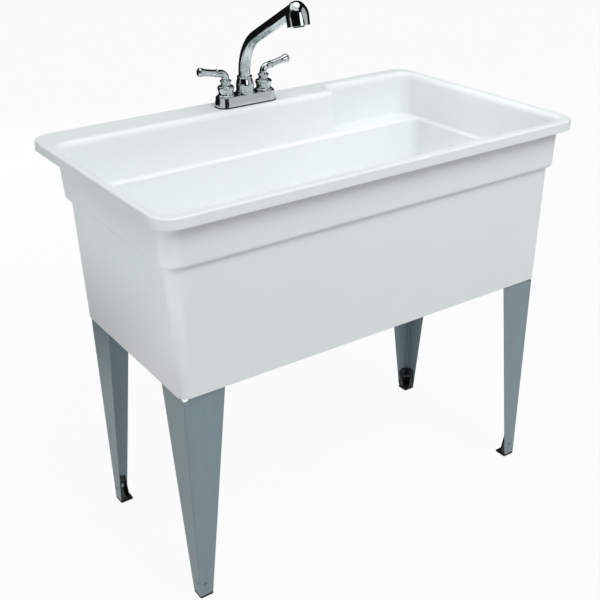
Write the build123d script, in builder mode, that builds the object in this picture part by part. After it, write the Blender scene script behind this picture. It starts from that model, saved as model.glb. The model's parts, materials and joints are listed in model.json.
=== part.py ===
from build123d import *
import os
from math import cos, radians, sin

# Free-standing utility laundry sink: a moulded tub with a turned-down rim on four sheet-steel
# legs with levelling feet, a centreset tap with a pull-out spray, and a basket waste with stopper.
# Millimetres, +Z up, origin on the floor under the centre of the rim. The user stands at -Y.

# ---- tub: rim and deck ----
rim_length = 1016.0
rim_width = 610.0
rim_height = 886.0
rim_corner = 45.0
lip_depth = 21.5
wall = 5.0
lip_edge_round = 4.0
bowl_edge_round = 15.0
side_overhang = 18.5
front_overhang = 25.0
back_overhang = 36.0
deck_overhang = 85.0
shelf_length = 250.0

# ---- tub: upper band, shelf and lower bowl ----
band_depth = 110.0
band_draft_side = 3.0
band_draft_front = 3.0
band_draft_back = 5.0
band_draft_deck = 9.0
band_corner = 35.0
shelf_corner = 24.0
deck_corner = 14.0
band_step_round = 8.0
step_side = 10.0
step_front = 10.5
step_back = 12.0
lower_corner = 28.0
lower_draft_side = 6.5
lower_draft_front = 8.5
lower_draft_back = 11.0
tub_depth = 386.0
skirt_corner = 20.0
skirt_depth = 24.0
ledge_round = 4.0
ledge_root_round = 4.0
floor_round = 14.0
floor_fall = 7.0
fall_margin = 24.0
fall_corner = 8.0
sump_size = 96.0

# ---- tub: leg sockets and holes ----
socket_gap = 2.6
socket_wall = 4.0
socket_length = 110.0
socket_depth = 20.0
tap_hole_radius = 14.0
waste_hole_radius = 24.0
waste_y = -34.0

# ---- legs, feet and their screws ----
sheet = 1.5
leg_clearance = 0.5
leg_lean_side = 5.5
leg_lean_front = 3.5
leg_lean_back = 3.5
leg_top_flange = 95.0
leg_end_flange = 30.0
leg_end_level = 5.5
bend_radius = 3.0
notch_reach = 14.0
notch_drop = 8.0
notch_chamfer = 5.0
foot_size = 32.0
foot_pad = 3.0
foot_pad_corner = 4.0
foot_wall = 3.0
foot_wall_height = 56.0
foot_gap = 0.2
foot_web = 2.5
foot_web_reach = 15.0
foot_web_height = 50.0
foot_travel = 15.0
foot_screw_inset = 15.2
foot_screw_level = 32.0
screw_radius = 2.4
screw_clearance = 0.3
screw_head_radius = 4.3
screw_head_height = 2.4
screw_head_taper = 14.0
drive_length = 4.4
drive_width = 1.1
drive_depth = 1.4
screw_length = 12.0
nut_flats_radius = 4.6
nut_height = 3.2

# ---- tap: base plate, waterway and fixings ----
tap_setback = 52.0
tap_pitch = 101.6
tap_end = 26.2
tap_depth = 48.0
tap_corner = 20.0
tap_draft = 3.2
gasket_thickness = 3.0
gasket_width = 6.0
gasket_proud = 0.8
cover_height = 22.0
cover_wall = 2.5
cover_round = 1.8
cover_clearance = 0.4
running_gap = 0.05
seat_flange_radius = 16.0
seat_flange_height = 4.0
barrel_radius = 11.5
barrel_height = 44.0
boss_radius = 16.8
boss_rise = 1.0
shank_radius = 10.65
shank_length = 46.0
coupling_radius = 10.45
coupling_length = 26.0
inlet_radius = 6.0
bridge_width = 14.0
bridge_height = 12.0
bridge_lift = 4.0
channel_radius = 4.0
hose_way_radius = 8.5
gland_radius = 12.0
gland_length = 36.0
washer_radius = 19.0
washer_thickness = 2.0
wing_nut_radius = 15.0
wing_nut_height = 10.0
wing_span = 46.0
wing_width = 5.0
wing_height = 7.0

# ---- tap: bells, cartridges and handles ----
cartridge_radius = 9.5
cartridge_floor = 11.0
cartridge_top = 50.0
cartridge_neck_radius = 7.0
cartridge_neck_height = 4.0
cartridge_base = 3.0
cartridge_chamber_radius = 7.4
cartridge_chamber_height = 14.0
stem_radius = 4.0
stem_foot_radius = 7.0
stem_foot_height = 3.0
stem_lift = 22.0
stem_top = 68.5
bell_height = 30.0
bell_base_radius = 20.0
bell_base_height = 2.5
bell_waist_radius = 17.6
bell_waist_height = 11.0
bell_shoulder_radius = 19.4
bell_shoulder_height = 19.0
bell_ogee_radius = 14.2
bell_ogee_height = 24.0
bell_neck_radius = 10.9
bell_neck_height = 27.0
bell_crown_height = 21.0
handle_gap = 0.4
hub_foot_radius = 11.0
hub_bead_radius = 13.4
hub_bead_height = 4.1
hub_bead_width = 3.2
hub_neck_radius = 9.8
hub_height = 9.4
lever_radius = 8.6
lever_bend = 13.0
lever_rise = 11.0
lever_slim_radius = 7.8
lever_bead_start = 11.0
lever_bead_radius = 9.2
lever_bead_width = 3.4
lever_flare_start = 38.0
lever_cap_start = 55.0
lever_cap_radius = 10.2
lever_cap_groove = 1.0
lever_length = 61.5
set_screw_radius = 1.6
set_screw_length = 5.0
set_screw_lift = 7.6

# ---- tap: hub, spout and spray ----
hub_flange_radius = 22.2
hub_flange_height = 3.5
hub_barrel_radius = 20.7
hub_barrel_height = 16.0
hub_top_radius = 16.6
hub_total_height = 34.0
spout_radius = 13.8
spout_bore = 12.3
spout_lift = 0.3
spout_flange_radius = 16.4
spout_flange_height = 4.0
spout_clearance = 0.4
spout_straight = 66.5
spout_bend = 108.0
spout_rise = 27.2
spout_arm = 138.0
post_height = 28.0
ring_radius = 0.7
ring_seat = 0.8
ring_first = 9.0
ring_spacing = 8.0
collar_radius = 18.1
collar_height = 4.4
collar_lift = 59.6
collar_round = 1.6
bush_bore = 10.3
bush_length = 20.0
plug_clearance = 0.1
plug_length = 18.0
spray_joint_gap = 0.4
spray_way_radius = 4.0
ferrule_radius = 8.5
ferrule_length = 14.0
hose_radius = 6.0
hose_length = 100.0
spray_reach = 228.2
spray_lift = 208.9
spray_tilt = 13.0
spray_mouth_radius = 24.0
spray_radius = 24.6
spray_straight = 19.5
spray_dome = 32.0
spray_wall = 2.5
spray_mouth_round = 0.8
nozzle_clearance = 0.2
nozzle_recess = 0.8
nozzle_thickness = 6.0
nozzle_boss_radius = 11.9
nozzle_boss_drop = 2.5
nozzle_bore_radius = 6.0
nozzle_bore_depth = 5.0
nozzle_hole_radius = 0.9
nozzle_hole_ring = 16.5
nozzle_hole_count = 16
nozzle_post_radius = 7.0
nozzle_post_top = 34.0
button_width = 9.4
button_height = 20.0
button_level = 22.0
button_proud = 1.4
button_flange_lap = 1.2
button_flange_thickness = 1.6
button_clearance = 0.3
button_round = 0.6
button_seat_gap = 3.8
spring_radius = 2.6
spring_start = 7.1
spring_wire = 0.35
spring_turns = 6

# ---- waste outlet ----
waste_flange_radius = 38.0
waste_flange_height = 2.0
waste_flange_round = 1.0
waste_thread_radius = 23.4
waste_length = 55.0
waste_cup_radius = 20.5
waste_cup_depth = 12.0
waste_bore = 17.8
bar_width = 3.0
bar_height = 3.0
bar_drop = 10.0
waste_ring_radius = 34.0
waste_gasket_thickness = 3.0
waste_washer_thickness = 1.5
locknut_radius = 31.0
locknut_height = 9.5
locknut_lug_length = 5.0
locknut_lug_width = 9.0
locknut_lug_count = 6
tailpiece_radius = 19.05
tailpiece_wall = 1.25
tailpiece_length = 87.0
tailpiece_flange_radius = 22.8
tailpiece_flange_height = 2.2
tailpiece_neck_radius = 19.26
tailpiece_neck_length = 8.0
slip_nut_radius = 27.0
slip_nut_height = 18.0
slip_nut_lip = 3.5
slip_nut_rib = 1.6
slip_nut_rib_count = 12
stopper_clearance = 0.3
stopper_thickness = 4.0
stopper_plug_depth = 7.0
stopper_neck_radius = 3.5
stopper_neck_height = 6.0
stopper_knob_radius = 8.0
stopper_knob_height = 6.0
stopper_knob_round = 2.0

# ---- heights and places that follow from the sizes ----
pick_margin = 0.1
half_length = rim_length / 2
front_edge = -rim_width / 2
back_edge = rim_width / 2
lip_bottom = rim_height - lip_depth
band_bottom = rim_height - band_depth
skirt_bottom = rim_height - tub_depth
deck_under = rim_height - wall
shelf_level = band_bottom + wall
floor_under = skirt_bottom + skirt_depth
floor_level = floor_under + wall

band_x = half_length - side_overhang
band_front = front_edge + front_overhang
band_back = back_edge - back_overhang
deck_front = back_edge - deck_overhang
deck_end = band_x - wall - shelf_length - wall

band_low_x = band_x - band_draft_side
band_low_front = band_front + band_draft_front
band_low_back = band_back - band_draft_back
deck_low_front = deck_front - band_draft_deck

lower_x = band_low_x - step_side
lower_front = band_low_front + step_front
lower_back = deck_low_front - step_back
skirt_x = lower_x - lower_draft_side
skirt_front = lower_front + lower_draft_front
skirt_back = lower_back - lower_draft_back

tap_y = back_edge - tap_setback
tap_side = tap_pitch / 2
tap_length = tap_pitch + 2 * tap_end

leg_corner_x = skirt_x - wall - leg_clearance
leg_places = (
    ("front_left", -1, skirt_front, 1, leg_lean_front),
    ("front_right", 1, skirt_front, 1, leg_lean_front),
    ("back_left", -1, skirt_back, -1, leg_lean_back),
    ("back_right", 1, skirt_back, -1, leg_lean_back),
)


def stepped_outline(level, side, front, back, deck, deck_x, corner, shelf_round, deck_round):
    """Rounded outline of the upper bowl: a rectangle with its back left part cut off for the deck."""
    with BuildSketch(Plane.XY.offset(level)) as outline:
        with BuildLine():
            Polyline(
                (-side, front), (side, front), (side, back), (deck_x, back),
                (deck_x, deck), (-side, deck), close=True,
            )
        make_face()
        fillet(outline.vertices().sort_by_distance((deck_x, deck, level))[0], deck_round)
        fillet(outline.vertices().sort_by_distance((deck_x, back, level))[0], shelf_round)
        corners = [(-side, front), (side, front), (side, back), (-side, deck)]
        fillet([outline.vertices().sort_by_distance((*place, level))[0] for place in corners], corner)
    return outline.sketch


def tub_rectangle(level, side, front, back, corner):
    """Rounded rectangle across the tub at one height, from its side, front and back faces."""
    with BuildSketch(Plane.XY.offset(level)) as outline:
        with Locations((0, (front + back) / 2)):
            RectangleRounded(2 * side, back - front, corner)
    return outline.sketch


def angle_section(level, corner_x, corner_y, inward_x, inward_y, flange, thickness):
    """L-shaped section of a sheet angle whose outer corner is given, flanges running inward."""
    with BuildSketch(Plane.XY.offset(level)) as section:
        with BuildLine():
            Polyline(
                (corner_x, corner_y),
                (corner_x + inward_x * flange, corner_y),
                (corner_x + inward_x * flange, corner_y + inward_y * thickness),
                (corner_x + inward_x * thickness, corner_y + inward_y * thickness),
                (corner_x + inward_x * thickness, corner_y + inward_y * flange),
                (corner_x, corner_y + inward_y * flange),
                close=True,
            )
        make_face()
    return section.sketch


def faces_at(solid, level):
    """Flat faces of a solid at one height, the largest last."""
    band = (level - pick_margin, level + pick_margin)
    return solid.faces().filter_by_position(Axis.Z, *band).sort_by(SortBy.AREA)


with BuildPart() as tub:
    extrude(tub_rectangle(lip_bottom, half_length, front_edge, back_edge, rim_corner), amount=lip_depth)
    lip_inside = tub_rectangle(
        lip_bottom, half_length - wall, front_edge + wall, back_edge - wall, rim_corner - wall
    )
    extrude(lip_inside, amount=lip_depth - wall, mode=Mode.SUBTRACT)
    band_foot = stepped_outline(
        band_bottom, band_low_x, band_low_front, band_low_back, deck_low_front, deck_end,
        band_corner, shelf_corner, deck_corner,
    )
    band_head = stepped_outline(
        deck_under, band_x, band_front, band_back, deck_front, deck_end,
        band_corner, shelf_corner, deck_corner,
    )
    loft([band_foot, band_head], ruled=True)
    fillet(faces_at(tub, deck_under)[-1].inner_wires()[0].edges(), bowl_edge_round - wall)
    fillet(faces_at(tub, band_bottom)[-1].outer_wire().edges(), band_step_round)
    skirt_foot = tub_rectangle(skirt_bottom, skirt_x, skirt_front, skirt_back, skirt_corner)
    skirt_head = tub_rectangle(shelf_level, lower_x, lower_front, lower_back, lower_corner)
    loft([skirt_foot, skirt_head], ruled=True)

    # the hollow: upper bowl down to the shelf, lower bowl down to the floor
    bowl_foot = stepped_outline(
        shelf_level, band_low_x - wall, band_low_front + wall, band_low_back - wall,
        deck_low_front - wall, deck_end + wall, band_corner - wall, shelf_corner - wall,
        deck_corner + wall,
    )
    bowl_head = stepped_outline(
        rim_height, band_x - wall, band_front + wall, band_back - wall, deck_front - wall,
        deck_end + wall, band_corner - wall, shelf_corner - wall, deck_corner + wall,
    )
    loft([bowl_foot, bowl_head], ruled=True, mode=Mode.SUBTRACT)
    lower_foot = tub_rectangle(
        floor_level, skirt_x - wall, skirt_front + wall, skirt_back - wall, skirt_corner - wall
    )
    lower_head = tub_rectangle(
        shelf_level, lower_x - wall, lower_front + wall, lower_back - wall, lower_corner - wall
    )
    loft([lower_foot, lower_head], ruled=True, mode=Mode.SUBTRACT)
    below_floor = tub_rectangle(
        skirt_bottom, skirt_x - wall, skirt_front + wall, skirt_back - wall, skirt_corner - wall
    )
    extrude(below_floor, amount=skirt_depth, mode=Mode.SUBTRACT)

    # rounded edges of the rim, the shelf, the ledge and the floor
    fillet(faces_at(tub, rim_height)[-1].inner_wires()[0].edges(), bowl_edge_round)
    fillet(faces_at(tub, rim_height)[-1].outer_wire().edges(), lip_edge_round)
    fillet(faces_at(tub, shelf_level)[-1].inner_wires()[0].edges(), ledge_round)
    fillet(faces_at(tub, shelf_level)[-1].outer_wire().edges(), ledge_root_round)
    fillet(faces_at(tub, floor_level)[-1].outer_wire().edges(), floor_round)

    # the floor falls in four flat slopes to a square sump round the waste hole
    for level, mode in ((floor_under, Mode.ADD), (floor_level, Mode.SUBTRACT)):
        slope_edge = tub_rectangle(
            level, skirt_x - wall - fall_margin, skirt_front + wall + fall_margin,
            skirt_back - wall - fall_margin, fall_corner,
        )
        with BuildSketch(Plane.XY.offset(level - floor_fall)) as sump:
            with Locations((0, waste_y)):
                RectangleRounded(sump_size, sump_size, fall_corner)
        loft([sump.sketch, slope_edge], ruled=True, mode=mode)

    # sockets under the floor that hold each leg end against the skirt
    for name, side, end_y, turn, lean in leg_places:
        corner = (side * (skirt_x - wall - socket_gap), end_y + turn * (wall + socket_gap))
        rib = angle_section(
            floor_under - socket_depth, corner[0], corner[1], -side, turn, socket_length, socket_wall
        )
        extrude(rib, amount=socket_depth + wall / 2)

    # tap holes through the deck and the waste hole through the sump
    with BuildSketch(Plane.XY.offset(rim_height)) as tap_holes:
        with Locations((-tap_side, tap_y), (0, tap_y), (tap_side, tap_y)):
            Circle(tap_hole_radius)
    extrude(tap_holes.sketch, amount=-2 * wall, mode=Mode.SUBTRACT)
    with BuildSketch(Plane.XY.offset(floor_level)) as waste_hole:
        with Locations((0, waste_y)):
            Circle(waste_hole_radius)
    extrude(waste_hole.sketch, amount=-floor_fall - 2 * wall, mode=Mode.SUBTRACT)
tub.part.label = "tub"


def ring(level, outer, inner, place):
    """Flat ring sketch at one height round a given place."""
    with BuildSketch(Plane.XY.offset(level)) as flat:
        with Locations(place):
            Circle(outer)
            Circle(inner, mode=Mode.SUBTRACT)
    return flat.sketch


def disc(level, radius, place):
    """Round sketch at one height round a given place."""
    with BuildSketch(Plane.XY.offset(level)) as flat:
        with Locations(place):
            Circle(radius)
    return flat.sketch


def turned(points, place_x, place_y):
    """Half section, given as (radius, height) points, standing beside an upright axis."""
    with BuildSketch(Plane.XZ.offset(-place_y)) as half:
        with BuildLine():
            Polyline(*[(place_x + radius, height) for radius, height in points], close=True)
        make_face()
    return half.sketch


def upright(place_x, place_y):
    """Upright axis through a place on the plan."""
    return Axis((place_x, place_y, 0), (0, 0, 1))


# ---- legs ----
legs = []
for name, side, end_y, turn, lean in leg_places:
    top_y = end_y + turn * (wall + leg_clearance)
    end_x = side * (leg_corner_x - leg_lean_side)
    with BuildPart() as leg:
        leg_end = angle_section(
            leg_end_level, end_x, top_y + turn * lean, -side, turn, leg_end_flange, sheet
        )
        leg_head = angle_section(
            floor_under, side * leg_corner_x, top_y, -side, turn, leg_top_flange, sheet
        )
        loft([leg_end, leg_head], ruled=True)
        middle = (leg_end_level + floor_under) / 2
        bend_x = side * (leg_corner_x - leg_lean_side / 2)
        bend_y = top_y + turn * lean / 2
        fillet(leg.edges().sort_by_distance((bend_x, bend_y, middle))[0], bend_radius)
        inner_bend = (bend_x - side * sheet, bend_y + turn * sheet, middle)
        fillet(leg.edges().sort_by_distance(inner_bend)[0], bend_radius - sheet)

        # notch across the bend where the leg passes the rounded corner of the tub
        notch = []
        for level, reach in (
            (skirt_bottom - notch_drop, notch_reach - notch_chamfer),
            (skirt_bottom - notch_drop + notch_chamfer, notch_reach),
        ):
            with BuildSketch(Plane.XY.offset(level)) as cut:
                with Locations((side * leg_corner_x, top_y)):
                    Rectangle(2 * reach, 2 * reach)
            notch.append(cut.sketch)
        loft(notch, ruled=True, mode=Mode.SUBTRACT)
        extrude(notch[1], amount=floor_under - skirt_bottom + notch_drop, mode=Mode.SUBTRACT)

        # one screw hole in each flange near the floor
        rise = (foot_screw_level - leg_end_level) / (floor_under - leg_end_level)
        face_x = end_x + side * leg_lean_side * rise
        face_y = top_y + turn * lean * (1 - rise)
        hole_planes = (
            Plane((face_x - side * foot_screw_inset, face_y, foot_screw_level), z_dir=(0, -turn, 0)),
            Plane((face_x, face_y + turn * foot_screw_inset, foot_screw_level), z_dir=(side, 0, 0)),
        )
        for hole_plane in hole_planes:
            with BuildSketch(hole_plane.offset(-2 * sheet)) as hole:
                Circle(screw_radius + screw_clearance)
            extrude(hole.sketch, amount=3 * sheet, mode=Mode.SUBTRACT)
    leg.part.label = "leg_" + name
    legs.append((leg.part, hole_planes))

# ---- levelling feet: a pad with two slotted upright walls and a web at each free edge ----
feet = []
for name, side, end_y, turn, lean in leg_places:
    corner_x = side * (leg_corner_x - leg_lean_side)
    corner_y = end_y + turn * (wall + leg_clearance + lean)
    wall_x = corner_x - side * (sheet + foot_gap)
    wall_y = corner_y + turn * (sheet + foot_gap)
    half_wall = foot_screw_inset - sheet - foot_gap
    with BuildPart() as foot:
        with BuildSketch() as pad:
            with Locations((corner_x - side * foot_size / 2, corner_y + turn * foot_size / 2)):
                RectangleRounded(foot_size, foot_size, foot_pad_corner)
        extrude(pad.sketch, amount=foot_pad)
        wall_planes = (
            Plane((wall_x - side * half_wall, wall_y, 0), x_dir=(-turn, 0, 0), z_dir=(0, turn, 0)),
            Plane((wall_x, wall_y + turn * half_wall, 0), x_dir=(0, -side, 0), z_dir=(-side, 0, 0)),
        )
        for wall_plane in wall_planes:
            with BuildSketch(wall_plane) as face:
                with Locations((0, (foot_wall_height - half_wall) / 2)):
                    Rectangle(2 * half_wall, foot_wall_height - half_wall)
                with Locations((0, (foot_wall_height - half_wall))):
                    Circle(half_wall)
            extrude(face.sketch, amount=foot_wall)
            with BuildSketch(wall_plane.offset(-foot_wall)) as slot:
                with Locations((0, (foot_screw_level + foot_travel / 2))):
                    SlotCenterToCenter(
                        foot_travel, 2 * (screw_radius + screw_clearance), rotation=90
                    )
            extrude(slot.sketch, amount=3 * foot_wall, mode=Mode.SUBTRACT)
        for far_x, far_y, reach_x, reach_y, normal in (
            (wall_x - side * 2 * half_wall, wall_y, 0, turn, (side, 0, 0)),
            (wall_x, wall_y + turn * 2 * half_wall, -side, 0, (0, -turn, 0)),
        ):
            base = Plane((far_x, far_y, foot_pad), x_dir=(reach_x, reach_y, 0), z_dir=normal)
            up = base.y_dir.Z
            with BuildSketch(base) as web:
                with BuildLine():
                    Polyline(
                        (0, 0), (foot_web_reach, 0), (foot_wall, up * foot_web_height),
                        (0, up * foot_web_height), close=True,
                    )
                make_face()
            extrude(web.sketch, amount=foot_web)
        bend_room = bend_radius - sheet
        with BuildSketch(Plane.XY.offset(foot_pad)) as bend_cut:
            with BuildLine():
                Polyline(
                    (wall_x, wall_y), (wall_x - side * bend_room, wall_y),
                    (wall_x, wall_y + turn * bend_room), close=True,
                )
            make_face()
        extrude(bend_cut.sketch, amount=foot_wall_height, mode=Mode.SUBTRACT)
    foot.part.label = "foot_" + name
    feet.append(foot.part)

with BuildPart() as foot_screws:
    for leg_part, hole_planes in legs:
        for hole_plane in hole_planes:
            head_plane = hole_plane.offset(running_gap)
            with BuildSketch(head_plane) as head:
                Circle(screw_head_radius)
            extrude(head.sketch, amount=screw_head_height, taper=screw_head_taper)
            with BuildSketch(head_plane) as shank:
                Circle(screw_radius)
            extrude(shank.sketch, amount=-screw_length)
            with BuildSketch(head_plane.offset(screw_head_height - drive_depth)) as drive:
                Rectangle(drive_length, drive_width)
                Rectangle(drive_width, drive_length)
            extrude(drive.sketch, amount=2 * drive_depth, mode=Mode.SUBTRACT)
foot_screws.part.label = "foot_screws"

with BuildPart() as foot_nuts:
    for name, side, end_y, turn, lean in leg_places:
        corner_x = side * (leg_corner_x - leg_lean_side)
        corner_y = end_y + turn * (wall + leg_clearance + lean)
        inset = sheet + foot_gap + foot_wall + running_gap
        rise = (foot_screw_level - leg_end_level) / (floor_under - leg_end_level)
        screw_x = corner_x + side * (leg_lean_side * rise - foot_screw_inset)
        screw_y = corner_y - turn * (lean * rise - foot_screw_inset)
        for nut_plane in (
            Plane((screw_x, corner_y + turn * inset, foot_screw_level), z_dir=(0, turn, 0)),
            Plane((corner_x - side * inset, screw_y, foot_screw_level), z_dir=(-side, 0, 0)),
        ):
            with BuildSketch(nut_plane) as nut:
                RegularPolygon(nut_flats_radius, 6, major_radius=False)
                Circle(screw_radius + running_gap, mode=Mode.SUBTRACT)
            extrude(nut.sketch, amount=nut_height)
foot_nuts.part.label = "foot_nuts"

# ---- tap base: gasket, cover, waterway and the fixings under the deck ----
tap_places = ((-tap_side, tap_y), (tap_side, tap_y))
cover_foot = rim_height + gasket_thickness
tap_top = cover_foot + cover_height
with BuildPart() as tap_gasket:
    with BuildSketch(Plane.XY.offset(rim_height)) as gasket:
        with Locations((0, tap_y)):
            RectangleRounded(
                tap_length + 2 * gasket_proud, tap_depth + 2 * gasket_proud,
                tap_corner + gasket_proud,
            )
            RectangleRounded(
                tap_length - 2 * gasket_width, tap_depth - 2 * gasket_width,
                tap_corner - gasket_width, mode=Mode.SUBTRACT,
            )
    extrude(gasket.sketch, amount=gasket_thickness)
tap_gasket.part.label = "tap_gasket"


def cover_section(level, inset):
    """Rounded rectangle across the tap cover, set in from its foot outline."""
    with BuildSketch(Plane.XY.offset(level)) as section:
        with Locations((0, tap_y)):
            RectangleRounded(tap_length - 2 * inset, tap_depth - 2 * inset, tap_corner - inset)
    return section.sketch


with BuildPart() as tap_cover:
    loft([cover_section(cover_foot, 0), cover_section(tap_top, tap_draft)], ruled=True)
    fillet(tap_cover.faces().sort_by(Axis.Z)[-1].outer_wire().edges(), cover_round)
    inner_foot = cover_section(cover_foot, cover_wall)
    inner_head = cover_section(tap_top - cover_wall, cover_wall + tap_draft)
    loft([inner_foot, inner_head], ruled=True, mode=Mode.SUBTRACT)
    for place in tap_places:
        barrel_hole = disc(tap_top, barrel_radius + cover_clearance, place)
        extrude(barrel_hole, amount=-2 * cover_wall, mode=Mode.SUBTRACT)
    boss_hole = disc(tap_top, boss_radius + cover_clearance, (0, tap_y))
    extrude(boss_hole, amount=-2 * cover_wall, mode=Mode.SUBTRACT)
tap_cover.part.label = "tap_cover"

post_foot = tap_top + boss_rise
with BuildPart() as tap_waterway:
    with BuildSketch(Plane.XY.offset(rim_height + bridge_lift)) as bridge:
        with Locations((0, tap_y)):
            Rectangle(tap_pitch, bridge_width)
    extrude(bridge.sketch, amount=bridge_height)
    extrude(disc(rim_height, boss_radius, (0, tap_y)), amount=post_foot - rim_height)
    extrude(disc(post_foot, spout_bore - running_gap, (0, tap_y)), amount=post_height)
    extrude(disc(rim_height, gland_radius, (0, tap_y)), amount=-gland_length)
    for place in tap_places:
        extrude(disc(rim_height, seat_flange_radius, place), amount=seat_flange_height)
        extrude(disc(rim_height, barrel_radius, place), amount=barrel_height)
        extrude(disc(rim_height, shank_radius, place), amount=coupling_length - shank_length)
        extrude(disc(rim_height, coupling_radius, place), amount=-shank_length)
    channel_level = rim_height + bridge_lift + bridge_height / 2
    with BuildSketch(Plane.YZ.offset(-tap_side)) as channel:
        with Locations((tap_y, channel_level)):
            Circle(channel_radius)
    extrude(channel.sketch, amount=tap_pitch, mode=Mode.SUBTRACT)
    for place in tap_places:
        barrel_bore = disc(rim_height + cartridge_floor, cartridge_radius + running_gap, place)
        extrude(barrel_bore, amount=barrel_height, mode=Mode.SUBTRACT)
        inlet = disc(rim_height - shank_length, inlet_radius, place)
        extrude(inlet, amount=shank_length + cartridge_floor, mode=Mode.SUBTRACT)
    hose_way = disc(rim_height - gland_length, hose_way_radius, (0, tap_y))
    extrude(hose_way, amount=gland_length + post_foot + post_height - rim_height, mode=Mode.SUBTRACT)
    for step in (ring_first, ring_first + ring_spacing):
        groove = ring(
            post_foot + step - ring_seat, spout_bore, spout_bore - running_gap - 2 * ring_radius,
            (0, tap_y),
        )
        extrude(groove, amount=2 * ring_seat, mode=Mode.SUBTRACT)
tap_waterway.part.label = "tap_waterway"

with BuildPart() as mounting_washers:
    for place in tap_places:
        washer = ring(deck_under, washer_radius, shank_radius + running_gap, place)
        extrude(washer, amount=-washer_thickness)
mounting_washers.part.label = "mounting_washers"

with BuildPart() as mounting_nuts:
    nut_level = deck_under - washer_thickness
    for place in tap_places:
        extrude(disc(nut_level, wing_nut_radius, place), amount=-wing_nut_height)
        with BuildSketch(Plane.XY.offset(nut_level)) as wings:
            with Locations(place):
                RectangleRounded(wing_span, wing_width, wing_width / 2 - running_gap)
        extrude(wings.sketch, amount=-wing_height)
        bore = disc(nut_level, shank_radius + running_gap, place)
        extrude(bore, amount=-wing_nut_height, mode=Mode.SUBTRACT)
mounting_nuts.part.label = "mounting_nuts"

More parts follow.
